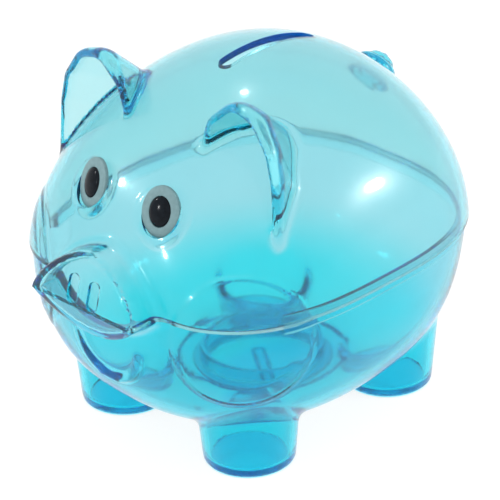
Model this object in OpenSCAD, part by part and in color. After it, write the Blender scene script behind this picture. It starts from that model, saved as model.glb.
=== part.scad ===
// Piggy bank moulded in two clear tinted halves, with a push-in belly plug and set-in eyes.
// Millimetres. +Z is up, the nose points along -Y, and z = 0 is the floor under the feet.

/* [Body] */
// Width of the body at the seam
body_w = 106; // [84:1:130]
// Length of the body at the seam
body_l = 118; // [96:1:142]
// Height of the seam above the floor
seam_z = 53; // [48:0.5:66]
// Rise of the back above the seam
dome_h = 54.5; // [45:0.5:66]
// Depth of the belly below the seam
belly_d = 46; // [40:0.5:46.5]
// Wall thickness of both halves
wall = 2; // [1.6:0.1:2.4]
// Squareness of the face end seen from above (2 is an ellipse)
face_n = 3.1; // [2.4:0.05:3.4]
// Squareness of the rump end seen from above
rump_n = 2.7; // [2.2:0.05:3]
// Set-back of the lower half from the upper half at the seam
seam_step = 0.6; // [0.3:0.1:1]
// Height of the lip inside the seam
lip_h = 2; // [1.5:0.25:3.5]
// Distance in front of the middle of the body where the lip ends on each side
lip_reach = 25.5; // [15:0.5:34]
// Gap between the lip and the upper wall
lip_gap = 0.3; // [0.2:0.05:0.5]

/* [Coin slot] */
// Length of the slot
slot_l = 36; // [30:1:40]
// Width of the slot
slot_w = 4.5; // [4.2:0.1:5]
// Distance of the slot centre behind the middle of the body
slot_back = 6.5; // [2:0.5:12]

/* [Head] */
// Width of the snout at the seam
snout_w = 40; // [32:1:42]
// Distance of the snout disc in front of the body at the seam
snout_out = 9; // [6:0.5:11]
// Rise of the snout above the seam
snout_up = 15.6; // [13:0.2:18]
// Depth of the snout below the seam
snout_down = 8.5; // [7:0.5:10]
// Lean of the snout disc back from the seam, both up and down
snout_lean = 16; // [8:1:18]
// Height of the ears above the seam
ear_up = 56; // [50:0.5:60]
// Distance of an ear tip from the midline
ear_x = 28; // [24:0.5:30]
// Distance of the ears in front of the middle of the body
ear_fwd = 33.5; // [30:0.5:36]
// Angle of each eye away from the nose line
eye_turn = 11.6; // [10:0.2:14]
// Angle of the eyes above the seam
eye_lift = 29.5; // [27:0.5:32]
// Width of the grey of an eye
eye_w = 12; // [11:0.2:13]
// Height of the grey of an eye
eye_h = 14.4; // [13:0.2:15.6]
// Width of a pupil
pupil_w = 6.6; // [6:0.2:8]
// Height of a pupil
pupil_h = 8.4; // [7.6:0.2:10]

/* [Legs] */
// Diameter of a foot
foot_d = 26.2; // [22:0.2:28]
// Distance between the left and right feet
feet_x = 50; // [44:1:56]
// Distance between the front and rear feet
feet_y = 58; // [50:1:66]
// Growth of a leg's radius for each millimetre up
leg_taper = 0.09; // [0.05:0.01:0.12]

/* [Belly plug] */
// Diameter of the hole in the belly
hole_d = 36; // [30:1:38]
// Radial clearance of the plug in its hole
plug_gap = 0.05; // [0.03:0.01:0.1]
// Width of the plug's flange past the hole
flange_lap = 3; // [2:0.5:3.5]
// Height of the plug's skirt inside the hole
skirt_h = 7; // [5:0.5:9]
// Distance of the plug behind the middle of the body
plug_back = 1.5; // [-2:0.5:3]
// Length of the grip bar under the plug
grip_l = 20; // [14:1:28]
// Turn of the grip bar from the left-right line
grip_turn = -37; // [-90:1:90]

/* [Hidden] */

clear_cyan = [0.48, 0.86, 0.92, 0.8];
deep_cyan = [0.05, 0.78, 0.90, 0.8];
around = 48;               // corners of one ring of the body mesh
rings = 10;                // rings from the seam to the pole
mid_y = snout_out / 2;     // middle of the body's length, with the snout left out
crown_shift = 1.2;         // how far the top of the back sits behind that
brow_slope = 1.5;          // how far the forehead leans back at mid height
belly_shift = -3.5;        // how far the underside sits in front of the middle
belly_n = 3.2;             // roundness of the flanks of the lower half
feet_y0 = mid_y - 1;       // y of the middle between the feet
belly_z = seam_z - belly_d;
face_y = mid_y - body_l / 2;
nose_y = face_y - snout_out;
shoulder_h = 0.9;          // relief of the shoulder over each front leg
shoulder_r = 21;
shoulder_at = [0.39 * body_w, mid_y - 0.4 * body_l, seam_z - 6];
flange_h = 1.8;
seat_gap = 0.1;            // gap between the plug's flange and the rim it closes
boss_r = hole_d / 2 + 6.5;
boss_z = belly_z - 0.6;    // underside of the flat rim around the hole
path_gap = 0.3;            // clearance of the plug's flange between the legs
mouth_r = 13.4;
mouth_z = seam_z - 12.6;   // centre of the mouth's arc
eye_toe = 12;              // turn of an eye's flat face away from straight ahead
eye_tilt = 20;             // lean of that face above level
eye_sink = 0.8;
eye_proud = 0.7;
pupil_proud = 0.8;
ear_wall = 2.3;
ear_lean = 2;              // lean of an ear's rim back towards its tip
// Balls that an ear is drawn over: outward, forward and down from its top, and radius
ear_balls = [[-1, -1.5, 6.6, 7.4], [1.2, -1.5, 8, 8.2], [4.8, -1, 12.6, 7.8], [8, -1, 19, 6.2],
             [11.2, 0, 34, 4], [-6.3, 0, 9.5, 6], [-12.5, 1, 18, 3],
             [6.5, -8.5, 24, 5], [-2, -16, 19, 7]];
ear_rim = 1.5;             // how far the rim stands in front of the middle of the ear

function spow(v, n) = sign(v) * pow(abs(v), 2 / n);
function smooth(t) = let (c = max(0, min(1, t))) c * c * (3 - 2 * c);

// Raised relief of the shoulder, at a point of the body's side
function relief(p) =
    shoulder_h * smooth((shoulder_r - norm([abs(p.x), p.y, p.z] - shoulder_at)) / 6);

// Point of the upper half, moved in by inset. turn is around Z, lift is 0 at the seam.
function upper_pt(turn, lift, inset) =
    let (seam_n = turn > 180 || turn < 0 ? face_n : rump_n,
         n = seam_n + (2 - seam_n) * sin(lift),
         fwd = max(0, -sin(turn)) * brow_slope * sin(2 * lift),
         p = [(body_w / 2 - inset) * spow(cos(turn), n) * cos(lift),
              mid_y + (body_l / 2 - inset) * spow(sin(turn), n) * cos(lift)
                  + crown_shift * sin(lift) + fwd,
              seam_z + (dome_h - inset) * sin(lift)],
         out = [p.x / body_w, (p.y - mid_y) / body_l, 0])
    p + relief(p) * out / max(norm(out), 0.001);

// Point of the lower half, moved in by inset. drop is 0 at the seam.
function lower_pt(turn, drop, inset) =
    let (down = spow(sin(drop), belly_n),
         rho = spow(cos(drop), belly_n),
         seam_n = turn > 180 || turn < 0 ? face_n : rump_n,
         n = seam_n + (2.2 - seam_n) * down,
         p = [(body_w / 2 - inset) * spow(cos(turn), n) * rho,
              mid_y + (body_l / 2 - inset) * spow(sin(turn), n) * rho
                  + belly_shift * down,
              seam_z - (belly_d - inset) * down],
         out = [p.x / body_w, (p.y - mid_y) / body_l, 0])
    p + relief(p) * out / max(norm(out), 0.001);

function turn_at(i) = 360 * i / around;

// Outline of the upper half at the height of the lip's top, moved in by inset
function lip_outline(inset) =
    let (lift = asin(lip_h / (dome_h - inset)))
    [for (i = [0 : around - 1]) let (p = upper_pt(turn_at(i), lift, inset)) [p.x, p.y]];

// Closed solid through a stack of rings: a flat first ring, and a pole at the end
module ring_stack(stack, pole, flip) {
    m = len(stack);
    points = concat([for (ring = stack) each ring], [pole]);
    base = [for (i = [0 : around - 1]) i];
    sides = [for (k = [0 : m - 2], i = [0 : around - 1])
        let (j = (i + 1) % around, a = k * around)
        each [[a + i, a + around + j, a + j], [a + i, a + around + i, a + around + j]]];
    cap = [for (i = [0 : around - 1])
        [(m - 1) * around + i, m * around, (m - 1) * around + (i + 1) % around]];
    faces = concat([base], sides, cap);
    polyhedron(points, flip ? [for (f = faces) [for (i = [len(f) - 1 : -1 : 0]) f[i]]] : faces);
}

// Solid under the back, moved in by inset and carried down below the seam by skirt
module upper_solid(inset, skirt = 0) {
    stack = [for (k = [0 : rings - 1])
        [for (i = [0 : around - 1]) upper_pt(turn_at(i), 90 * k / rings, inset)]];
    foot = [for (p = stack[0]) [p.x, p.y, p.z - skirt]];
    ring_stack(skirt > 0 ? concat([foot], stack) : stack, upper_pt(0, 90, inset), false);
}

// Solid over the belly, moved in by inset and carried up above the seam by skirt
module lower_solid(inset, skirt = 0) {
    stack = [for (k = [0 : rings - 1])
        [for (i = [0 : around - 1]) lower_pt(turn_at(i), 90 * k / rings, inset)]];
    foot = [for (p = stack[0]) [p.x, p.y, p.z + skirt]];
    ring_stack(skirt > 0 ? concat([foot], stack) : stack, lower_pt(0, 90, inset), true);
}

// Places children with +Z along the outward normal of one eye. side is 1 for the left.
module at_eye(side) {
    translate(upper_pt(-90 + side * eye_turn, eye_lift, 0))
        rotate([0, 0, side * eye_toe])
            rotate([90 - eye_tilt, 0, 0])
                children();
}

// Oval plate with straight sides, standing on z = from
module oval(w, h, from, to) {
    translate([0, 0, from])
        linear_extrude(to - from) {
            for (s = [-1, 1])
                translate([0, s * (h - w) / 2]) circle(d = w, $fn = 48);
            square([w, h - w], center = true);
        }
}

// Form of one ear, moved in by inset and drawn out forward by reach
module ear_form(side, inset, reach) {
    hull()
        for (b = ear_balls, fwd = reach > 0 ? [0, reach] : [0])
            translate([side * (ear_x + b[0]), mid_y - ear_fwd - b[1] - fwd,
                       seam_z + ear_up - b[2]])
                sphere(b[3] - inset, $fn = 32);
}

// One ear: a thin scoop, open to the front
module ear(side) {
    difference() {
        ear_form(side, 0, 0);
        ear_form(side, ear_wall, 18);
        translate([side * ear_x, mid_y - ear_fwd - ear_rim, seam_z + ear_up - 34])
            rotate([-ear_lean, 0, 0])
                translate([-30, -40, -30])
                    cube([60, 40, 90]);
    }
}

// Places children at the seam on the nose, leaning back with the disc. way is 1 upwards.
module at_nose(way, inset = 0) {
    translate([0, nose_y + inset, seam_z])
        rotate([-way * snout_lean, 0, 0])
            children();
}

// Upper part of the snout, moved in by inset
module snout_top(inset) {
    w = snout_w / 2 - inset;
    difference() {
        translate([0, nose_y + 26, seam_z])
            rotate([90, 0, 0])
                linear_extrude(26)
                    polygon(concat(inset > 0 ? [[w, -0.5]] : [],
                        [for (k = [0 : 30]) let (t = 6 * k)
                            [w * spow(cos(t), 1.5), (snout_up - inset) * spow(sin(t), 1.5)]],
                        inset > 0 ? [[-w, -0.5]] : []));
        at_nose(1, inset)
            translate([-50, -40, -5]) cube([100, 40, 60]);
    }
}

// Lower part of the snout, moved in by inset
module snout_low(inset) {
    r_low = (pow(snout_w / 2, 2) + pow(snout_down, 2)) / (2 * snout_down);
    difference() {
        intersection() {
            translate([0, nose_y, seam_z - snout_down + r_low])
                rotate([-90, 0, 0])
                    cylinder(h = 24, r = r_low - inset, $fn = 96);
            translate([-snout_w / 2 + inset, nose_y - 1, seam_z - 2 * snout_down])
                cube([snout_w - 2 * inset, 40, 2 * snout_down + (inset > 0 ? 0.5 : 0)]);
        }
        at_nose(-1, inset)
            translate([-50, -40, -55]) cube([100, 40, 60]);
    }
}

// Curled tail: two coils stacked on the rump, the upper one smaller, with a round tip
module tail() {
    translate(upper_pt(90, 33, 0))
        rotate([-57, 0, 0]) {
            translate([0, 0, 1.4])
                rotate([0, 0, 100])
                    rotate_extrude(angle = 320, $fn = 48)
                        translate([4.3, 0]) circle(r = 2.4, $fn = 32);
            translate([0, 0, 3.8])
                rotate_extrude($fn = 48)
                    translate([2.4, 0]) circle(r = 2, $fn = 32);
            translate([0, 0, 5])
                sphere(r = 1.9, $fn = 32);
            cylinder(h = 3.4, r = 2.4, $fn = 32);
        }
}

// Slot with round ends, cut straight down through the back
module slot_cut() {
    translate([0, mid_y + slot_back, seam_z + dome_h - 20])
        linear_extrude(30) {
            for (s = [-1, 1])
                translate([0, s * (slot_l - slot_w) / 2]) circle(d = slot_w, $fn = 48);
            square([slot_w, slot_l - slot_w], center = true);
        }
}

// One nostril: a round-ended pit in the snout disc
module nostril(side) {
    at_nose(1)
        translate([side * 3.9, -1, 2.6])
            rotate([-90, 0, 0])
                linear_extrude(1.9) {
                    translate([0, -4.6]) circle(r = 2, $fn = 48);
                    circle(r = 2, $fn = 48);
                    translate([-2, -4.6]) square([4, 4.6]);
                }
}

module upper_shell() {
    color(clear_cyan)
        difference() {
            union() {
                difference() {
                    union() {
                        upper_solid(0);
                        ear(1);
                        ear(-1);
                        snout_top(0);
                        tail();
                    }
                    upper_solid(wall, 1);
                    snout_top(wall);
                }
                // seats that hold the eyes
                for (side = [-1, 1])
                    at_eye(side) oval(eye_w + 2.4, eye_h + 2.4, -3.2, 0);
            }
            for (side = [-1, 1]) {
                nostril(side);
                at_eye(side) oval(eye_w, eye_h, -eye_sink, 8);
            }
            slot_cut();
            translate([-100, -100, seam_z - 50]) cube([200, 200, 50]);
        }
}

// One leg, moved in by inset
module leg(sx, sy, inset) {
    r = foot_d / 2 - inset;
    top = seam_z * 0.55;
    translate([sx * feet_x / 2, feet_y0 + sy * feet_y / 2, inset])
        cylinder(h = top - inset, r1 = r, r2 = r + leg_taper * top, $fn = 64);
}

// All four legs, moved in by inset, and cut back where the plug's flange needs its way out
module legs(inset) {
    difference() {
        for (sx = [-1, 1], sy = [-1, 1])
            leg(sx, sy, inset);
        translate([0, mid_y + plug_back, -1])
            cylinder(h = boss_z + 1 + inset, r = hole_d / 2 + flange_lap + path_gap + inset, $fn = 96);
    }
}

// Lower lip of the mouth, a crescent standing out under the snout
module mouth() {
    translate([0, face_y + 6, mouth_z])
        rotate([90, 0, 0])
            difference() {
                cylinder(h = 6, r = mouth_r, $fn = 64);
                translate([0, 0, 4]) cylinder(h = 4, r = mouth_r - 2.2, $fn = 64);
                translate([-20, -mouth_r + 7, -1]) cube([40, 30, 10]);
            }
}

// Upright band whose outer face is moved in by inset
module lip_ring(inset, h) {
    linear_extrude(h)
        difference() {
            polygon(lip_outline(inset));
            polygon(lip_outline(wall + lip_gap + 1.1));
        }
}

module lower_shell() {
    color(deep_cyan)
        difference() {
            union() {
                difference() {
                    union() {
                        lower_solid(seam_step);
                        legs(0);
                        snout_low(0);
                        mouth();
                    }
                    lower_solid(seam_step + wall, 1);
                    legs(wall);
                    snout_low(wall);
                }
                translate([0, mid_y + plug_back, boss_z])
                    cylinder(h = wall + 1.4, r = boss_r, $fn = 96);
                // lip that stands up inside the upper half
                difference() {
                    translate([0, 0, seam_z - 3]) {
                        lip_ring(wall + lip_gap, 3 + lip_h);
                        lip_ring(seam_step + 1, 3);
                    }
                    translate([-body_w, mid_y - lip_reach - body_l, seam_z - 5])
                        cube([2 * body_w, body_l, 20]);
                }
            }
            translate([0, mid_y + plug_back, boss_z - 5]) cylinder(h = 20, d = hole_d, $fn = 96);
        }
}

module belly_plug() {
    color(deep_cyan)
        translate([0, mid_y + plug_back, boss_z]) {
            difference() {
                union() {
                    translate([0, 0, -flange_h - seat_gap])
                        cylinder(h = flange_h, r = hole_d / 2 + flange_lap, $fn = 96);
                    translate([0, 0, -seat_gap - 0.5])
                        cylinder(h = skirt_h + 0.5, r = hole_d / 2 - plug_gap, $fn = 96);
                }
                translate([0, 0, 0.2])
                    cylinder(h = skirt_h, r = hole_d / 2 - plug_gap - 1.6, $fn = 96);
            }
            rotate([0, 0, grip_turn])
                translate([-grip_l / 2, -1.5, -flange_h - seat_gap - 2.4])
                    cube([grip_l, 3, 2.6]);
        }
}

module eye(side) {
    color([0.49, 0.57, 0.58])
        at_eye(side)
            difference() {
                oval(eye_w, eye_h, -eye_sink, eye_proud);
                oval(pupil_w, pupil_h, 0, eye_proud + 1);
            }
}

module pupil(side) {
    color([0.02, 0.02, 0.03])
        at_eye(side) {
            oval(pupil_w, pupil_h, 0, eye_proud + pupil_proud);
        }
}

upper_shell();
lower_shell();
belly_plug();
eye(1);  // eye_left
eye(-1);  // eye_right
pupil(1);  // pupil_left
pupil(-1);  // pupil_right
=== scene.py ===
"""Looks of a clear tinted piggy bank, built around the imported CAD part."""
import math

import bmesh
import bpy
import numpy as np
from mathutils import Matrix, Vector
from mathutils.bvhtree import BVHTree


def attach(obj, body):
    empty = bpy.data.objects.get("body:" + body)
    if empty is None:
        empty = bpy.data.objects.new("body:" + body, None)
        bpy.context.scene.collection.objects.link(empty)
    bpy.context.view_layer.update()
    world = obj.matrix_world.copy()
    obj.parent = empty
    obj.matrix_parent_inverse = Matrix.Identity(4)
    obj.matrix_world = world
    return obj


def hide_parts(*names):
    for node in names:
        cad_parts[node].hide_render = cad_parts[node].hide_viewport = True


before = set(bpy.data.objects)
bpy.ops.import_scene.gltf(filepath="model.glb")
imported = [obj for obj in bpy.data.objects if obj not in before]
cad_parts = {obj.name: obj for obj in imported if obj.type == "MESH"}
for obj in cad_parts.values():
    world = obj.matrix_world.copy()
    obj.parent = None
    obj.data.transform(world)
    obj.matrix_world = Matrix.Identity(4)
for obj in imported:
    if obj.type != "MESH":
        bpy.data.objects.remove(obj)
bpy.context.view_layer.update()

MM = 0.001

# ---------------------------------------------------------------- sizes, in millimetres
HALF_W, HALF_L = 53.0, 59.0
SEAM, DOME_H, BELLY_D = 53.0, 54.5, 46.0
WALL, STEP = 2.0, 0.6                  # the lower half is one step smaller than the upper
FACE_N, RUMP_N = 3.1, 2.7              # how square the outline is at the seam, in front and behind
CROWN_N, BOTTOM_N, BELLY_N = 2, 2.2, 3.2
MID_Y = 4.5
CROWN, BROW, BELLY_SHIFT = 1.2, 1.5, -3.5
SHOULDER = (41.34, -42.7, 47.0)
SHOULDER_R, SHOULDER_H = 21.0, 0.9
SHOULDER_RISES = [(0.4, 1.3), (0.6, 7)]     # share of the height, and the width that it rises over
SNOUT_W, SNOUT_UP, SNOUT_DOWN, LEAN, ARCH_N = 40.0, 15.6, 8.5, 16.0, 1.5
ARCH_PEAK, ARCH_SCALE = 0.6, 0.85      # rounds the arch's top, and brings its field near a distance
SNOUT_IN_TOP, SNOUT_IN_LOW = 26, 24    # how far the snout reaches back into the head
SNOUT_EDGE = 0.9
FACE_Y, NOSE_Y = -54.5, -63.5
NOSTRIL_X, NOSTRIL_W, NOSTRIL_H, NOSTRIL_DEPTH = 3.9, 4, 8.6, 0.9
NOSTRIL_RAISE, NOSTRIL_DROP = 2.6, 2.3
FEET_X, FEET_Y, FEET_MID = 25.0, 29.0, 3.5
FOOT_R, LEG_TAPER, LEG_TOP, FOOT_FLOOR = 13.1, 0.09, 29.15, 1.4
LEG_COS = 0.996                        # cosine of the legs' taper
PLUG_Y, BOSS_Z, HOLE_R = 6.0, 6.4, 18.0
BOSS_R, BOSS_HALF = 24.5, 1.7
SLOT_Y, SLOT_L, SLOT_W = 11.0, 36.0, 4.5
MOUTH_R, MOUTH_Z = 13.4, 40.4
MOUTH_LIP, MOUTH_PIT, MOUTH_DROP, MOUTH_BACK = 2.2, 2, 1.4, 8
LIP_TURN, LIP_RISE = 31, 2             # locating lip: degrees it runs past the widest place, and height
EYE_TURN, EYE_LIFT, EYE_TOE, EYE_TILT = 11.6, 29.5, 12, 70      # degrees
EYE_W, EYE_H, EYE_POCKET = 12, 14.4, 0.8
EYE_SEAT = (8.4, 9.8, 2.5)
SNOUT_BLEND, TRIM_BLEND, LEG_BLEND, CHIN_BLEND = 2.6, 1.6, 2.4, 3
DEEP_BELOW, DEEP_END = 14.0, 35.0      # heights where the painted shade on the lower half is deepest, and where it ends
TINY = 1e-6


# ---------------------------------------------------------------- fields, negative inside
def soft_min(a, b, k):
    """Smaller of two fields, rounded over a width of k."""
    h = np.clip(0.5 + 0.5 * (b - a) / k, 0, 1)
    return b + (a - b) * h - k * h * (1 - h)


def soft_max(a, b, k):
    return -soft_min(-a, -b, k)


def smooth(t):
    t = np.clip(t, 0, 1)
    return t * t * (3 - 2 * t)


def relieved(p):
    """Points moved in under the shoulders' raised relief."""
    x, y, z = p
    gap = np.sqrt((abs(x) - SHOULDER[0]) ** 2 + (y - SHOULDER[1]) ** 2 + (z - SHOULDER[2]) ** 2)
    rise = SHOULDER_H * sum(share * smooth((SHOULDER_R - gap) / width) for share, width in SHOULDER_RISES)
    ox, oy = x / (2 * HALF_W), (y - MID_Y) / (2 * HALF_L)
    norm = np.maximum(np.sqrt(ox * ox + oy * oy), 0.001)
    return x - rise * ox / norm, y - rise * oy / norm, z


def radial(x, y, z, k):
    """Roughly the distance to the surface where k is 1, for a k that grows in step with the radius."""
    r = np.sqrt(x * x + y * y + z * z)
    return r * (k - 1) / np.maximum(k, TINY)


def dome(p, inset):
    x, y, z = relieved(p)
    a, b, h = HALF_W - inset, HALF_L - inset, DOME_H - inset
    up = np.maximum((z - SEAM) / h, 0)
    zc = np.minimum(up, 0.999)
    c = np.sqrt(1 - zc * zc)
    yf = y - MID_Y - CROWN * zc
    seam_n = np.where(yf < 0, FACE_N, RUMP_N)
    n = seam_n + (CROWN_N - seam_n) * zc
    lean = np.minimum(abs(yf) / (b * c), 1) ** (n / 2)
    yf = np.where(yf < 0, yf - BROW * 2 * zc * c * lean, yf)
    q = ((abs(x) / a) ** n + (abs(yf) / b) ** n) ** (1 / n)
    k = np.sqrt(q * q + up * up)
    return radial(x, yf, np.maximum(z - SEAM, 0), k)


def belly(p, inset):
    x, y, z = relieved(p)
    a, b, h = HALF_W - inset, HALF_L - inset, BELLY_D - inset
    down = np.maximum((SEAM - z) / h, 0)
    dc = np.minimum(down, 1)
    yf = y - MID_Y - BELLY_SHIFT * dc
    seam_n = np.where(yf < 0, FACE_N, RUMP_N)
    n = seam_n + (BOTTOM_N - seam_n) * dc
    q = ((abs(x) / a) ** n + (abs(yf) / b) ** n) ** (1 / n)
    k = (q ** BELLY_N + down ** BELLY_N) ** (1 / BELLY_N)
    return radial(x, yf, np.maximum(SEAM - z, 0), k)


def snout_face(y, z, inset, way):
    """Distance in front of the snout disc, which leans back from the seam. way is 1 upwards."""
    c, t = math.cos(math.radians(LEAN)), math.sin(math.radians(LEAN))
    return c * (NOSE_Y + inset - y) + way * t * (z - SEAM)


def snout_top(p, inset):
    x, y, z = p
    w, h = SNOUT_W / 2 - inset, SNOUT_UP - inset
    up = np.maximum(z - SEAM, 0)
    side = np.sqrt(x * x + ARCH_PEAK)
    k = ((side / w) ** ARCH_N + (up / h) ** ARCH_N) ** (1 / ARCH_N)
    d = np.hypot(side, up) * (k - 1) / np.maximum(k, TINY) * ARCH_SCALE
    return np.maximum(soft_max(d, snout_face(y, z, inset, 1), SNOUT_EDGE), y - (NOSE_Y + SNOUT_IN_TOP))


def snout_low(p, inset):
    x, y, z = p
    r = ((SNOUT_W / 2) ** 2 + SNOUT_DOWN ** 2) / (2 * SNOUT_DOWN)
    d = np.hypot(x, np.minimum(z - (SEAM - SNOUT_DOWN + r), 0)) - (r - inset)
    d = soft_max(d, abs(x) - (SNOUT_W / 2 - inset), 1.2)
    return np.maximum(soft_max(d, snout_face(y, z, inset, -1), SNOUT_EDGE), y - (NOSE_Y + SNOUT_IN_LOW))


EAR_AT = (28.0, MID_Y - 33.5, SEAM + 56.0)
# balls that the ear is wrapped round: how far outwards, forwards and down from EAR_AT, and radius
EAR_BALLS = [(-1, -1.5, 6.6, 7.4), (1.2, -1.5, 8, 8.2), (4.8, -1, 12.6, 7.8), (8, -1, 19, 6.2),
             (11.2, 0, 34, 4), (-6.3, 0, 9.5, 6), (-12.5, 1, 18, 3), (6.5, -8.5, 24, 5), (-2, -16, 19, 7)]
EAR_WALL, EAR_RIM, EAR_LEAN = 2.3, 1.5, math.radians(2)
EAR_PIVOT = 34                         # how far below EAR_AT the leaning rim keeps its place
CUP_REACH = 18
EAR_CUP = [(o, f + reach, d, r - EAR_WALL) for o, f, d, r in EAR_BALLS for reach in (0, CUP_REACH)]
BALL_POINTS = 1400


class HullField:
    """Distance to the hull of some balls, sampled on a grid around it."""

    def __init__(self, balls, pitch=0.65, pad=7.0):
        k = np.arange(BALL_POINTS) + 0.5
        lat, lon = np.arccos(1 - 2 * k / len(k)), np.pi * (1 + 5 ** 0.5) * k
        unit = np.stack([np.cos(lon) * np.sin(lat), np.sin(lon) * np.sin(lat), np.cos(lat)], 1)
        centres = np.array([(EAR_AT[0] + o, EAR_AT[1] - f, EAR_AT[2] - d) for o, f, d, r in balls])
        points = np.concatenate([c + unit * b[3] for c, b in zip(centres, balls)])
        bm = bmesh.new()
        for q in points:
            bm.verts.new(q)
        bmesh.ops.convex_hull(bm, input=bm.verts)
        bmesh.ops.delete(bm, geom=[v for v in bm.verts if not v.link_faces], context="VERTS")
        bmesh.ops.recalc_face_normals(bm, faces=bm.faces)
        tree = BVHTree.FromBMesh(bm)
        bm.free()
        self.lo, self.pitch = points.min(0) - pad, pitch
        size = np.ceil((points.max(0) + pad - self.lo) / pitch).astype(int) + 1
        axes = [self.lo[i] + pitch * np.arange(size[i]) for i in range(3)]
        self.values = np.empty(size)
        for i, x in enumerate(axes[0]):
            for j, y in enumerate(axes[1]):
                for m, z in enumerate(axes[2]):
                    q = Vector((x, y, z))
                    near, normal, _, dist = tree.find_nearest(q)
                    self.values[i, j, m] = dist if (q - near).dot(normal) > 0 else -dist

    def __call__(self, x, y, z):
        f = [(v - self.lo[i]) / self.pitch for i, v in enumerate((x, y, z))]
        top = np.array(self.values.shape) - 1.001
        inside = [np.clip(v, 0, top[i]) for i, v in enumerate(f)]
        base = [v.astype(int) for v in inside]
        t = [v - b for v, b in zip(inside, base)]
        out = 0
        for corner in range(8):
            c = [(corner >> i) & 1 for i in range(3)]
            w = 1
            for i in range(3):
                w = w * (t[i] if c[i] else 1 - t[i])
            out = out + w * self.values[base[0] + c[0], base[1] + c[1], base[2] + c[2]]
        away = sum((v - q) ** 2 for v, q in zip(f, inside))
        return out + np.sqrt(away) * self.pitch


ear_skin, ear_cup = HullField(EAR_BALLS), HullField(EAR_CUP)


def ear(p):
    x, y, z = p
    front = (math.cos(EAR_LEAN) * (EAR_AT[1] - EAR_RIM - y)
             + math.sin(EAR_LEAN) * (z - EAR_AT[2] + EAR_PIVOT))
    skin = soft_max(ear_skin(abs(x), y, z), front, 1.5)
    return soft_max(skin, -ear_cup(abs(x), y, z), 1.3)


def squared(v, n):
    """A cosine or sine of v, drawn out for an outline of squareness n."""
    return math.copysign(abs(v) ** (2 / n), v)


def rump_point(turn, lift):
    """Point of the dome's surface, at degrees round from +X and up from the seam."""
    t, l = math.radians(turn), math.radians(lift)
    seam_n = RUMP_N if math.sin(t) >= 0 else FACE_N
    n = seam_n + (CROWN_N - seam_n) * math.sin(l)
    lean = max(0, -math.sin(t)) * BROW * math.sin(2 * l)
    return (HALF_W * squared(math.cos(t), n) * math.cos(l),
            MID_Y + HALF_L * squared(math.sin(t), n) * math.cos(l) + CROWN * math.sin(l) + lean,
            SEAM + DOME_H * math.sin(l))


TAIL_AT = rump_point(90, 33)
TAIL_TILT, COIL_START, COIL_END = math.radians(57), math.radians(100), math.radians(320)
COIL_R, COIL_Z, COIL_WIRE = 4.5, 1.2, 2.4      # lower coil: radius, height over the rump, wire radius
COIL_IN, COIL_UP, COIL_THIN = 0.5, 0.6, 0.3    # how these change along one turn
COIL_STOP = 4.2                                # mm added to each radian past the coil's end
TOP_R, TOP_Z, TOP_WIRE = 2.4, 3.8, 1.9
TIP_Z, TIP_R = 5.0, 1.9
CORE_R, CORE_Z, CORE_HALF = 2.2, 1.6, 1.8


def tail(p):
    """Two coils stacked on the rump, the smaller one on top, with a filled middle and a round tip."""
    x, y, z = p[0] - TAIL_AT[0], p[1] - TAIL_AT[1], p[2] - TAIL_AT[2]
    c, s = math.cos(TAIL_TILT), math.sin(TAIL_TILT)
    y, z = c * y - s * z, s * y + c * z          # +z out along the normal of the rump
    turn = np.arctan2(y, x)
    along = (turn - COIL_START) % (2 * math.pi)
    wide, share = np.hypot(x, y), along / (2 * math.pi)
    over = np.maximum(along - COIL_END, 0) * COIL_STOP
    middle = np.sqrt((wide - COIL_R + COIL_IN * share) ** 2 + (z - COIL_Z - COIL_UP * share) ** 2 + over ** 2)
    coil = middle - COIL_WIRE + COIL_THIN * share
    small = np.sqrt((wide - TOP_R) ** 2 + (z - TOP_Z) ** 2) - TOP_WIRE
    tip = np.sqrt(x * x + y * y + (z - TIP_Z) ** 2) - TIP_R
    core = np.maximum(wide - CORE_R, abs(z - CORE_Z) - CORE_HALF)
    return soft_min(soft_min(coil, core, 0.5), soft_min(small, tip, 0.4), 0.35)


def eye_frame(side):
    """Matrix, in mm, with +Z along the outward normal of an eye and +Y up its long axis."""
    at = rump_point(-90 + side * EYE_TURN, EYE_LIFT)
    return (Matrix.Translation(at) @ Matrix.Rotation(math.radians(side * EYE_TOE), 4, "Z")
            @ Matrix.Rotation(math.radians(EYE_TILT), 4, "X"))


EYES = {side: eye_frame(side) for side in (1, -1)}


def eye_seat(p):
    """Soft swelling behind each eye."""
    x, y, z = p
    m = np.array(EYES[1].inverted())
    q = [m[i, 0] * abs(x) + m[i, 1] * y + m[i, 2] * z + m[i, 3] for i in range(3)]
    k = np.sqrt(sum((v / a) ** 2 for v, a in zip(q, EYE_SEAT)))
    return k * (k - 1) / np.maximum(np.sqrt(sum((v / a ** 2) ** 2 for v, a in zip(q, EYE_SEAT))), TINY)


def upper_field(p):
    skin = soft_min(dome(p, 0), snout_top(p, 0), SNOUT_BLEND)
    skin = soft_min(skin, ear(p), TRIM_BLEND)
    skin = soft_min(skin, tail(p), TRIM_BLEND)
    room = soft_min(dome(p, WALL), snout_top(p, WALL), SNOUT_BLEND)
    return soft_min(np.maximum(skin, -room), np.maximum(eye_seat(p), dome(p, 0)), 1.0)


def leg(p, inset):
    x, y, z = p
    d = np.hypot(abs(x) - FEET_X, abs(y - FEET_MID) - FEET_Y) - (FOOT_R - inset) - LEG_TAPER * z
    bottom, edge = (FOOT_FLOOR, 1.6) if inset else (0, 1.0)
    d = soft_max(d * LEG_COS, bottom - z, edge)
    return soft_max(d, z - LEG_TOP, 3.0)


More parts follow.
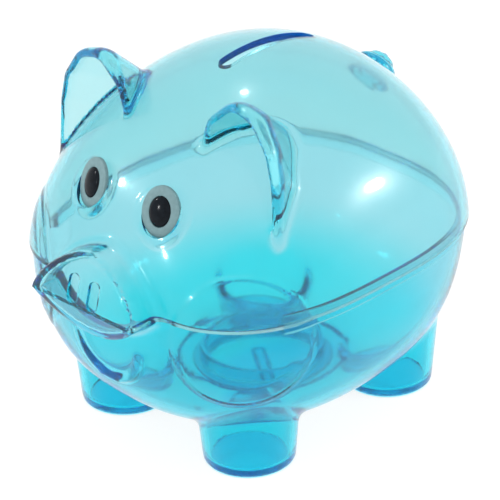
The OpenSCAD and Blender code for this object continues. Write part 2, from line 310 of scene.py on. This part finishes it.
def mouth(p):
    """Smiling lip under the snout: the lower part of a raised ring."""
    x, y, z = p
    ring = np.hypot(x, z - MOUTH_Z)
    rim = soft_max(ring - MOUTH_R, FACE_Y - y, 1.0)
    pit = soft_max(ring - (MOUTH_R - MOUTH_LIP), y - (FACE_Y + MOUTH_PIT), 0.8)
    lip = soft_max(rim, -pit, 0.6)
    lip = soft_max(lip, z - (MOUTH_Z - MOUTH_DROP), 2.0)
    return np.maximum(lip, y - (FACE_Y + MOUTH_BACK))


def lower_field(p):
    x, y, z = p
    skin = soft_min(belly(p, STEP), leg(p, 0), LEG_BLEND)
    skin = soft_min(skin, snout_low(p, 0), CHIN_BLEND)
    skin = soft_min(skin, mouth(p), TRIM_BLEND)
    room = soft_min(belly(p, STEP + WALL), leg(p, WALL), LEG_BLEND)
    room = soft_min(room, snout_low(p, WALL), CHIN_BLEND)
    boss = soft_max(np.hypot(x, y - PLUG_Y) - BOSS_R, abs(z - BOSS_Z - BOSS_HALF) - BOSS_HALF, 1.2)
    return soft_min(np.maximum(skin, -room), boss, 1.0)


# ---------------------------------------------------------------- meshing
SLAB = 16                              # layers of the grid worked out at a time
SETTLES, RELAXES = 3, 3
PROBE = 0.05                           # mm to each side, for a field's slope


def mesh_field(name, field, lo, hi, pitch):
    """Closed mesh of a field's zero surface, one vertex to a crossed cell, drawn onto the surface."""
    size = [int(math.ceil((hi[i] - lo[i]) / pitch)) + 1 for i in range(3)]
    axes = [lo[i] + pitch * np.arange(size[i]) for i in range(3)]
    value = np.empty(size)
    for start in range(0, size[0], SLAB):
        grid = np.meshgrid(axes[0][start:start + SLAB], axes[1], axes[2], indexing="ij")
        value[start:start + SLAB] = field(grid)
    inside = value < 0
    cells = np.zeros([n - 1 for n in size], int)
    for c in range(8):
        i, j, k = c & 1, (c >> 1) & 1, c >> 2
        cells += inside[i:size[0] - 1 + i, j:size[1] - 1 + j, k:size[2] - 1 + k]
    crossed = (cells > 0) & (cells < 8)
    where = np.argwhere(crossed)
    index = -np.ones(crossed.shape, int)
    index[crossed] = np.arange(len(where))
    total, count = np.zeros((len(where), 3)), np.zeros(len(where))
    for axis in range(3):
        for c in range(4):
            a = [0, 0, 0]
            a[(axis + 1) % 3], a[(axis + 2) % 3] = c & 1, c >> 1
            b = list(a)
            b[axis] = 1
            va = value[tuple((where + a).T)]
            vb = value[tuple((where + b).T)]
            cut = (va < 0) != (vb < 0)
            t = np.where(cut, va / np.where(cut, va - vb, 1), 0)
            point = where + np.array(a, float)
            point[:, axis] += t
            total[cut] += point[cut]
            count[cut] += 1
    verts = np.array(lo) + pitch * total / count[:, None]
    faces = []
    for axis in range(3):
        u, v = (axis + 1) % 3, (axis + 2) % 3
        low, high = [slice(0, None)] * 3, [slice(0, None)] * 3
        low[axis], high[axis] = slice(0, -1), slice(1, None)
        for s in (u, v):
            low[s] = high[s] = slice(1, -1)
        a, b = inside[tuple(low)], inside[tuple(high)]
        for enters in (True, False):
            edge = np.argwhere((a & ~b) if enters else (~a & b))
            edge[:, u] += 1
            edge[:, v] += 1
            ring = []
            for du, dv in ((-1, -1), (0, -1), (0, 0), (-1, 0)):
                cell = edge.copy()
                cell[:, u] += du
                cell[:, v] += dv
                ring.append(index[tuple(cell.T)])
            quad = np.stack(ring if enters else ring[::-1], 1)
            faces.append(quad)
    faces = np.concatenate(faces)
    for _ in range(SETTLES):
        verts = settle(verts, field, pitch)
    for _ in range(RELAXES):
        verts = settle(relax(verts, faces), field, pitch)
    verts = settle(verts, field, pitch)
    mesh = bpy.data.meshes.new(name)
    mesh.from_pydata((verts * MM).tolist(), [], faces.tolist())
    mesh.validate()
    return add_object(name, mesh)


def settle(verts, field, pitch):
    """One step of each vertex towards the zero surface, along the field's slope."""
    p = verts.T
    here = field(list(p))
    slope = []
    for axis in range(3):
        step = np.zeros((3, 1))
        step[axis] = PROBE
        slope.append((field(list(p + step)) - field(list(p - step))) / (2 * PROBE))
    slope = np.stack(slope, 1)
    move = here / np.maximum((slope ** 2).sum(1), 0.05)
    return verts - slope * np.clip(move, -0.5 * pitch, 0.5 * pitch)[:, None]


def relax(verts, faces):
    """Each vertex halfway to the middle of its neighbours."""
    total, count = np.zeros_like(verts), np.zeros(len(verts))
    for a, b in ((0, 1), (1, 2), (2, 3), (3, 0)):
        for here, there in ((faces[:, a], faces[:, b]), (faces[:, b], faces[:, a])):
            for axis in range(3):
                total[:, axis] += np.bincount(here, verts[there, axis], len(verts))
            count += np.bincount(here, minlength=len(verts))
    return (verts + total / np.maximum(count, 1)[:, None]) / 2


def add_object(name, mesh):
    obj = bpy.data.objects.new(name, mesh)
    bpy.context.scene.collection.objects.link(obj)
    return obj


def prism(outline, base, top, place=Matrix.Identity(4)):
    """Closed prism over an outline of (x, y), as a cutter."""
    bm = bmesh.new()
    rings = [[bm.verts.new((place @ Vector((x, y, z))) * MM) for x, y in outline] for z in (base, top)]
    count = len(outline)
    for i in range(count):
        j = (i + 1) % count
        bm.faces.new([rings[0][i], rings[0][j], rings[1][j], rings[1][i]])
    bm.faces.new(rings[0][::-1])
    bm.faces.new(rings[1])
    bmesh.ops.recalc_face_normals(bm, faces=bm.faces)
    mesh = bpy.data.meshes.new("cutter")
    bm.to_mesh(mesh)
    bm.free()
    return add_object("cutter", mesh)


def stadium(w, h, count=48):
    """Outline with straight sides and round ends, long in y."""
    out = []
    for k in range(count):
        t = 2 * math.pi * (k + 0.5) / count
        out.append((w / 2 * math.cos(t), w / 2 * math.sin(t) + math.copysign((h - w) / 2, math.sin(t))))
    return out


def ellipse(w, h, count=72):
    return [(w / 2 * math.cos(2 * math.pi * k / count), h / 2 * math.sin(2 * math.pi * k / count))
            for k in range(count)]


def combine(obj, other, how="DIFFERENCE"):
    mod = obj.modifiers.new("cut", "BOOLEAN")
    mod.operation, mod.object, mod.solver = how, other, "EXACT"
    bake(obj)
    bpy.data.objects.remove(other)


def bake(obj):
    """Applies an object's modifiers to its mesh."""
    graph = bpy.context.evaluated_depsgraph_get()
    graph.update()
    mesh = bpy.data.meshes.new_from_object(obj.evaluated_get(graph))
    old = obj.data
    obj.modifiers.clear()
    obj.data = mesh
    bpy.data.meshes.remove(old)


def cut_flat(obj, z, keep_above):
    """Cuts a shell off at height z and closes the wall's edge."""
    bm = bmesh.new()
    bm.from_mesh(obj.data)
    cut = bmesh.ops.bisect_plane(bm, geom=bm.verts[:] + bm.edges[:] + bm.faces[:], plane_co=(0, 0, z * MM),
                                 plane_no=(0, 0, 1), clear_inner=keep_above, clear_outer=not keep_above)
    edges = [e for e in cut["geom_cut"] if isinstance(e, bmesh.types.BMEdge) and e.is_boundary]
    bmesh.ops.triangle_fill(bm, edges=edges, use_beauty=True)
    bmesh.ops.recalc_face_normals(bm, faces=bm.faces)
    bm.to_mesh(obj.data)
    bm.free()


def finish_shading(obj, degrees=30):
    for poly in obj.data.polygons:
        poly.use_smooth = True
    obj.data.set_sharp_from_angle(angle=math.radians(degrees))


# ---------------------------------------------------------------- materials
CLEAR_IOR = 1.5
CLEAR_ROUGH, COAT_ROUGH = (0.04, 0.09), 0.27
CLOUD, SWELL = (38, 2), (85, 1)        # scale and detail of the haze and of the waviness
TONE_STEP = 0.02
SOLID_DETAIL = 4


def new_material(name):
    mat = bpy.data.materials.new(name)
    mat.use_nodes = True
    return mat, mat.node_tree, mat.node_tree.nodes["Principled BSDF"]


def noise_on(nt, coords, scale, detail):
    noise = nt.nodes.new("ShaderNodeTexNoise")
    noise.inputs["Scale"].default_value = scale
    noise.inputs["Detail"].default_value = detail
    nt.links.new(coords.outputs["Object"], noise.inputs["Vector"])
    return noise.outputs["Fac"]


def uneven(nt, shader, noise, colours, rough):
    """Colour and roughness that each vary between two values. Returns the colour's output."""
    tone = nt.nodes.new("ShaderNodeValToRGB")
    for stop, position, colour in zip(tone.color_ramp.elements, (0.3, 0.7), colours):
        stop.position = position
        stop.color = (*colour, 1)
    nt.links.new(noise, tone.inputs["Fac"])
    nt.links.new(tone.outputs["Color"], shader.inputs["Base Color"])
    haze = nt.nodes.new("ShaderNodeMapRange")
    haze.inputs["To Min"].default_value, haze.inputs["To Max"].default_value = rough
    nt.links.new(noise, haze.inputs["Value"])
    nt.links.new(haze.outputs["Result"], shader.inputs["Roughness"])
    return tone.outputs["Color"]


def relief(nt, shader, noise, strength, distance):
    bump = nt.nodes.new("ShaderNodeBump")
    bump.inputs["Strength"].default_value = strength
    bump.inputs["Distance"].default_value = distance
    nt.links.new(noise, bump.inputs["Height"])
    nt.links.new(bump.outputs["Normal"], shader.inputs["Normal"])


def deepen(nt, shader, coords, tone, deep):
    """Painted shade: paints the colour over to deep from DEEP_END down to DEEP_BELOW, darker towards the
    bottom.
    """
    place = nt.nodes.new("ShaderNodeSeparateXYZ")
    nt.links.new(coords.outputs["Object"], place.inputs["Vector"])
    low = nt.nodes.new("ShaderNodeMapRange")
    low.interpolation_type = "SMOOTHSTEP"
    low.inputs["From Min"].default_value = DEEP_BELOW * MM
    low.inputs["From Max"].default_value = DEEP_END * MM
    low.inputs["To Min"].default_value, low.inputs["To Max"].default_value = 1, 0
    nt.links.new(place.outputs["Z"], low.inputs["Value"])
    mix = nt.nodes.new("ShaderNodeMixRGB")
    mix.inputs["Color2"].default_value = (*deep, 1)
    nt.links.new(low.outputs["Result"], mix.inputs["Fac"])
    nt.links.new(tone, mix.inputs["Color1"])
    nt.links.new(mix.outputs["Color"], shader.inputs["Base Color"])


def clear_plastic(name, tint, absorb, veil, glow, deep=None):
    """Clear tinted moulded plastic: slight waviness and haze, and a colour that deepens with thickness.
    absorb is how much red, green and blue one metre takes, veil dims the sharp reflection, and glow is
    the weight of a rough coat that spreads the lamps into soft highlights. deep, when given, is the colour
    of a painted shade laid over the lowest part."""
    mat, nt, shader = new_material(name)
    shader.inputs["Transmission Weight"].default_value = 1
    shader.inputs["Specular Tint"].default_value = (*veil, 1)
    shader.inputs["Coat Weight"].default_value = glow
    shader.inputs["Coat Roughness"].default_value = COAT_ROUGH
    shader.inputs["IOR"].default_value = CLEAR_IOR
    coords = nt.nodes.new("ShaderNodeTexCoord")
    darker = [max(0, c - TONE_STEP) for c in tint]
    tone = uneven(nt, shader, noise_on(nt, coords, *CLOUD), (darker, tint), CLEAR_ROUGH)
    if deep:
        deepen(nt, shader, coords, tone, deep)
    relief(nt, shader, noise_on(nt, coords, *SWELL), 0.05, 0.0006)
    density = max(absorb)
    soak = nt.nodes.new("ShaderNodeVolumeAbsorption")
    soak.inputs["Color"].default_value = (*[1 - a / density for a in absorb], 1)
    soak.inputs["Density"].default_value = density
    nt.links.new(soak.outputs["Volume"], nt.nodes["Material Output"].inputs["Volume"])
    return mat


def solid_plastic(name, colours, rough, grain, wave):
    """Opaque moulded plastic with a fine grain and slightly uneven tone."""
    mat, nt, shader = new_material(name)
    coords = nt.nodes.new("ShaderNodeTexCoord")
    noise = noise_on(nt, coords, grain, SOLID_DETAIL)
    uneven(nt, shader, noise, colours, rough)
    relief(nt, shader, noise, wave, 0.0002)
    return mat


clear_cyan = clear_plastic("clear_cyan_plastic", tint=(0.96, 0.872, 0.86), absorb=(270, 28, 7),
                           veil=(0.35, 0.5, 0.5), glow=0.5)
# a darker copy of the same plastic for the lower half and the plug: painted shade, deepening towards the
# bottom
shaded_cyan = clear_plastic("shaded_cyan_plastic", tint=(0.95, 0.85, 0.88), absorb=(300, 30, 8),
                          veil=(0.15, 0.5, 0.5), glow=0.3, deep=(0.06, 0.84, 0.90))
eye_grey = solid_plastic("eye_grey_plastic", ((0.145, 0.26, 0.28), (0.185, 0.32, 0.345)),
                         rough=(0.4, 0.55), grain=900, wave=0.15)
pupil_black = solid_plastic("pupil_black_plastic", ((0.002, 0.004, 0.007), (0.006, 0.010, 0.015)),
                            rough=(0.1, 0.16), grain=700, wave=0.04)
pupil_black.node_tree.nodes["Principled BSDF"].inputs["Specular IOR Level"].default_value = 0.12

# ---------------------------------------------------------------- upper half
PITCH = 0.8
ABOVE_SLOT, BELOW_SLOT = 125, 90
upper = mesh_field("upper_half", upper_field, (-58, -68, 50.7), (58, 74, 112), PITCH)
cut_flat(upper, SEAM, True)
slot = prism([(x, y + SLOT_Y) for x, y in stadium(SLOT_W, SLOT_L)], BELOW_SLOT, ABOVE_SLOT)
combine(upper, slot)
snout_disc = (Matrix.Translation((0, NOSE_Y, SEAM)) @ Matrix.Rotation(math.radians(-LEAN), 4, "X")
              @ Matrix.Translation((0, 0, NOSTRIL_RAISE)) @ Matrix.Rotation(math.radians(-90), 4, "X"))
for side in (1, -1):
    combine(upper, prism(ellipse(EYE_W, EYE_H), -EYE_POCKET, 8, EYES[side]))
    pit = [(side * NOSTRIL_X + x, y - NOSTRIL_DROP) for x, y in stadium(NOSTRIL_W, NOSTRIL_H)]
    combine(upper, prism(pit, -1, NOSTRIL_DEPTH, snout_disc))
finish_shading(upper)
upper.data.materials.clear()
upper.data.materials.append(clear_cyan)
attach(upper, "bank")
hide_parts("upper_shell")

# ---------------------------------------------------------------- lower half
SEAM_GAP = 0.1
lower = mesh_field("lower_half", lower_field, (-58, -68, -1.7), (58, 70, 55.5), PITCH * 1.1)
cut_flat(lower, SEAM - SEAM_GAP, False)


def lip_point(turn, inset):
    """Outline of the upper half's wall at the lip's top, moved in by inset."""
    h = DOME_H - inset
    lift = math.asin(LIP_RISE / h)
    t = math.radians(turn)
    seam_n = FACE_N if math.sin(t) < 0 else RUMP_N
    n = seam_n + (CROWN_N - seam_n) * math.sin(lift)
    return ((HALF_W - inset) * squared(math.cos(t), n) * math.cos(lift),
            MID_Y + (HALF_L - inset) * squared(math.sin(t), n) * math.cos(lift) + CROWN * math.sin(lift))


LIP_STEP = 1.5                         # degrees


def lip_band(name, start, stop, profile):
    """Closed band that follows the wall between two turns. profile is (inset, z)."""
    bm = bmesh.new()
    count = max(int((stop - start) / LIP_STEP), 8)
    rings = []
    for i in range(count + 1):
        turn = start + (stop - start) * i / count
        ring = []
        for inset, z in profile:
            x, y = lip_point(turn, inset)
            ring.append(bm.verts.new(Vector((x, y, z)) * MM))
        rings.append(ring)
    m = len(profile)
    for a, b in zip(rings, rings[1:]):
        for k in range(m):
            j = (k + 1) % m
            bm.faces.new([a[k], a[j], b[j], b[k]])
    bm.faces.new(rings[0][::-1])
    bm.faces.new(rings[-1])
    bmesh.ops.recalc_face_normals(bm, faces=bm.faces)
    mesh = bpy.data.meshes.new(name)
    bm.to_mesh(mesh)
    bm.free()
    return add_object(name, mesh)


# profile of the locating lip, each point as inset and height
LIP = [(1.5, 50.0), (1.5, 52.7), (2.3, 52.9), (2.3, 54.8), (2.5, 55), (3.2, 55), (3.4, 54.8), (3.4, 50.0)]
combine(lower, lip_band("lip", -LIP_TURN, 180 + LIP_TURN, LIP), "UNION")
circle = [(x, PLUG_Y + y) for x, y in ellipse(2 * HOLE_R, 2 * HOLE_R, 144)]
combine(lower, prism(circle, -5, 30))
finish_shading(lower)
lower.data.materials.clear()
# the lower half takes the shaded copy of the plastic, with painted shade towards its bottom
lower.data.materials.append(shaded_cyan)
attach(lower, "bank")
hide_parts("lower_shell")


# ---------------------------------------------------------------- belly plug, from the boss's underside
FLANGE_R, FLANGE_Z, FLANGE_HALF = 21, -1.0, 0.9
SKIRT_R, SKIRT_Z, SKIRT_HALF = 17.95, 3.2, 3.8
WELL_R, WELL_FLOOR = 16.35, 0.2
GRIP_TURN, GRIP_Z = math.radians(-37), -3
GRIP_HALVES = (10, 1.5, 1.3)           # half its length, width and height


def plug_field(p):
    x, y, z = p
    y = y - PLUG_Y
    z = z - BOSS_Z
    r = np.hypot(x, y)
    flange = soft_max(r - FLANGE_R, abs(z - FLANGE_Z) - FLANGE_HALF, 0.9)
    skirt = soft_max(r - SKIRT_R, abs(z - SKIRT_Z) - SKIRT_HALF, 0.7)
    solid = soft_min(flange, skirt, 0.2)
    solid = soft_max(solid, -soft_max(r - WELL_R, WELL_FLOOR - z, 1.0), 0.6)
    c, s = math.cos(GRIP_TURN), math.sin(GRIP_TURN)
    u, v, w = [abs(q) - half for q, half in zip((c * x + s * y, c * y - s * x, z - GRIP_Z), GRIP_HALVES)]
    bar = soft_max(soft_max(u, v, 1.2), w, 0.9)
    return soft_min(solid, bar, 0.9)


PLUG_PITCH = 0.5
plug = mesh_field("belly_stopper", plug_field, (-22.4, -16.4, 0.6), (22.4, 28.4, 14.9), PLUG_PITCH)
finish_shading(plug, 50)
# the plug takes the shaded copy of the plastic and lies almost wholly in its deepest painted shade
plug.data.materials.append(shaded_cyan)
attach(plug, "plug")
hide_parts("belly_plug")


# ---------------------------------------------------------------- eyes
def oval_solid(name, frame_mm, profile):
    """Closed solid of oval rings. profile is (half width, half height, z) from the back's middle
    round to the front's middle, or back to the start for a ring with a hole."""
    count = 96
    bm = bmesh.new()
    rings = []
    for w, h, z in profile:
        if w == 0:
            rings.append([bm.verts.new((frame_mm @ Vector((0, 0, z))) * MM)])
            continue
        ring = []
        for k in range(count):
            t = 2 * math.pi * k / count
            ring.append(bm.verts.new((frame_mm @ Vector((w * math.cos(t), h * math.sin(t), z))) * MM))
        rings.append(ring)
    if profile[0][0] and profile[-1][0]:
        rings.append(rings[0])
    for a, b in zip(rings, rings[1:]):
        for k in range(count):
            j = (k + 1) % count
            corners = [a[k % len(a)], a[j % len(a)], b[j % len(b)], b[k % len(b)]]
            kept = list(dict.fromkeys(corners))
            bm.faces.new(kept)
    bmesh.ops.recalc_face_normals(bm, faces=bm.faces)
    mesh = bpy.data.meshes.new(name)
    bm.to_mesh(mesh)
    bm.free()
    obj = add_object(name, mesh)
    finish_shading(obj, 35)
    return obj


def domed(w, h, base, rise, steps=10):
    """Rings of a shallow dome from its rim to its middle."""
    out = []
    for k in range(steps):
        t = k / steps * math.pi / 2
        out.append((w * math.cos(t), h * math.cos(t), base + rise * math.sin(t)))
    return out + [(0, 0, base + rise)]


# rings of the grey, each as half width, half height and height over the dome
IRIS = [(3.45, 4.35, -0.78), (5.7, 6.9, -0.78), (5.95, 7.15, -0.6), (5.95, 7.15, 0.15), (5.85, 7.05, 0.36),
        (5.6, 6.8, 0.5), (5.0, 6.2, 0.6), (4.2, 5.3, 0.68), (3.7, 4.65, 0.7), (3.45, 4.38, 0.62),
        (3.38, 4.28, 0.4)]
BEAD = [(0, 0, -0.4), (3.2, 4.1, -0.4), (3.33, 4.23, -0.3), (3.33, 4.23, 0.5)] + domed(3.3, 4.2, 0.52, 0.95)
for side, name in ((1, "left"), (-1, "right")):
    iris = oval_solid("iris_" + name, EYES[side], IRIS)
    iris.data.materials.append(eye_grey)
    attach(iris, "bank")
    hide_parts("eye_" + name)
    ball = oval_solid("pupil_bead_" + name, EYES[side], BEAD)
    ball.data.materials.append(pupil_black)
    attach(ball, "bank")
    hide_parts("pupil_" + name)

# ---------------------------------------------------------------- stage, lights, camera
FLOOR = 4                              # metres from its middle to its edges
floor_mesh = bpy.data.meshes.new("floor")
floor_mesh.from_pydata([(-FLOOR, -FLOOR, 0), (FLOOR, -FLOOR, 0), (FLOOR, FLOOR, 0), (-FLOOR, FLOOR, 0)],
                       [], [(0, 1, 2, 3)])
floor = add_object("floor", floor_mesh)
floor.location.z = -0.0002
paper, paper_tree, paper_shader = new_material("white_floor")
paper_nodes, paper_links = paper_tree.nodes, paper_tree.links
paper_shader.inputs["Roughness"].default_value = 0.9
paper_shader.inputs["Emission Strength"].default_value = 0.88


def maths(how, a, b=0.0):
    """Maths node of two inputs, each a number or another node's output."""
    node = paper_nodes.new("ShaderNodeMath")
    node.operation = how
    for socket, value in zip(node.inputs, (a, b)):
        if isinstance(value, (int, float)):
            socket.default_value = value
        else:
            paper_links.new(value, socket)
    return node.outputs[0]


def patch(x, y, half_w, half_l, soft):
    """1 inside an oval of the given half sizes, fading to 0 outside it."""
    far = maths("SQRT", maths("ADD", maths("POWER", maths("DIVIDE", x, half_w), 2.0),
                              maths("POWER", maths("DIVIDE", y, half_l), 2.0)))
    node = paper_nodes.new("ShaderNodeMapRange")
    node.interpolation_type = "SMOOTHSTEP"
    node.inputs["From Min"].default_value, node.inputs["From Max"].default_value = 1 - soft, 1 + soft
    node.inputs["To Min"].default_value, node.inputs["To Max"].default_value = 1, 0
    paper_links.new(far, node.inputs["Value"])
    return node.outputs["Result"]


# painted shadow: the floor is painted cyan under the belly and the feet, the tinted shadow that light through
# the plastic would cast, so that the clear plastic over it looks deep
BELLY_SHADOW, BELLY_BACK, BELLY_SOFT = (15, 24), 8, 0.3
FOOT_SHADOW, FOOT_SOFT = 12.5, 0.06
place = paper_nodes.new("ShaderNodeSeparateXYZ")
spot = paper_nodes.new("ShaderNodeTexCoord")
paper_links.new(spot.outputs["Object"], place.inputs["Vector"])
from_mid = maths("SUBTRACT", place.outputs["Y"], FEET_MID * MM)
belly_shadow = patch(place.outputs["X"], maths("SUBTRACT", from_mid, BELLY_BACK * MM),
                    BELLY_SHADOW[0] * MM, BELLY_SHADOW[1] * MM, BELLY_SOFT)
foot_shadow = patch(maths("SUBTRACT", maths("ABSOLUTE", place.outputs["X"]), FEET_X * MM),
                   maths("SUBTRACT", maths("ABSOLUTE", from_mid), FEET_Y * MM),
                   FOOT_SHADOW * MM, FOOT_SHADOW * MM, FOOT_SOFT)
shade = maths("MAXIMUM", belly_shadow, foot_shadow)
# inside the painted shadow the floor's colour and glow turn cyan
for socket, plain, tinted in (("Base Color", (0.2, 0.2, 0.2, 1), (0, 0.2, 0.2, 1)),
                              ("Emission Color", (1, 1, 1, 1), (0.0, 0.82, 1.0, 1))):
    mix = paper_nodes.new("ShaderNodeMix")
    mix.data_type = "RGBA"
    colours = [s for s in mix.inputs if s.type == "RGBA"]
    colours[0].default_value, colours[1].default_value = plain, tinted
    paper_links.new(shade, mix.inputs["Factor"])
    paper_links.new([s for s in mix.outputs if s.type == "RGBA"][0], paper_shader.inputs[socket])
floor.data.materials.append(paper)

world = bpy.data.worlds.new("studio")
world.use_nodes = True
world.node_tree.nodes["Background"].inputs["Color"].default_value = (1, 1, 1, 1)
world.node_tree.nodes["Background"].inputs["Strength"].default_value = 1.0
bpy.context.scene.world = world
bpy.context.scene.view_settings.view_transform = "Standard"
BOUNCES = 64                           # enough for light to cross every wall of the bank
bpy.context.scene.cycles.max_bounces = BOUNCES
bpy.context.scene.cycles.transmission_bounces = BOUNCES
bpy.context.scene.cycles.glossy_bounces = BOUNCES


def softbox(name, aim, toward, size, power):
    """Round lamp. toward is the way from aim to the lamp, in metres."""
    light = bpy.data.lights.new(name, "AREA")
    light.shape = "DISK"
    light.size, light.energy = size, power
    obj = bpy.data.objects.new(name, light)
    bpy.context.scene.collection.objects.link(obj)
    obj.location = Vector(aim) + Vector(toward)
    obj.rotation_euler = (-Vector(toward)).to_track_quat("-Z", "Y").to_euler()


softbox("side_light", aim=(0.046, 0.005, 0.08), toward=(0.699, 0.66, 0.274), size=0.07, power=3.6)
softbox("face_light", aim=(-0.004, -0.043, 0.083), toward=(-0.696, -0.574, 0.431), size=0.06, power=1.0)
softbox("front_light", aim=(0.019, -0.049, 0.07), toward=(-0.337, -0.905, 0.26), size=0.06, power=0.8)
softbox("top_light", aim=(0.013, -0.011, 0.103), toward=(-0.3, 0.246, 0.922), size=0.06, power=0.8)

AZ, EL, ROLL = math.radians(45.10), math.radians(28.145), math.radians(-1.74)
AIM, DISTANCE = Vector((0, 0.002004, 0.04498)), 0.8005
back = Vector((math.sin(AZ) * math.cos(EL), -math.cos(AZ) * math.cos(EL), math.sin(EL)))
flat = Vector((math.cos(AZ), math.sin(AZ), 0))
rise = back.cross(flat)
right = flat * math.cos(ROLL) + rise * math.sin(ROLL)
up = rise * math.cos(ROLL) - flat * math.sin(ROLL)
facing = Matrix((right, up, back)).transposed().to_4x4()
camera_data = bpy.data.cameras.new("camera")
camera_data.sensor_width, camera_data.lens = 36, 201.6
camera_data.clip_start, camera_data.clip_end = 0.01, 20
camera = bpy.data.objects.new("camera", camera_data)
camera.matrix_world = Matrix.Translation(AIM + back * DISTANCE) @ facing
bpy.context.scene.collection.objects.link(camera)
bpy.context.scene.camera = camera
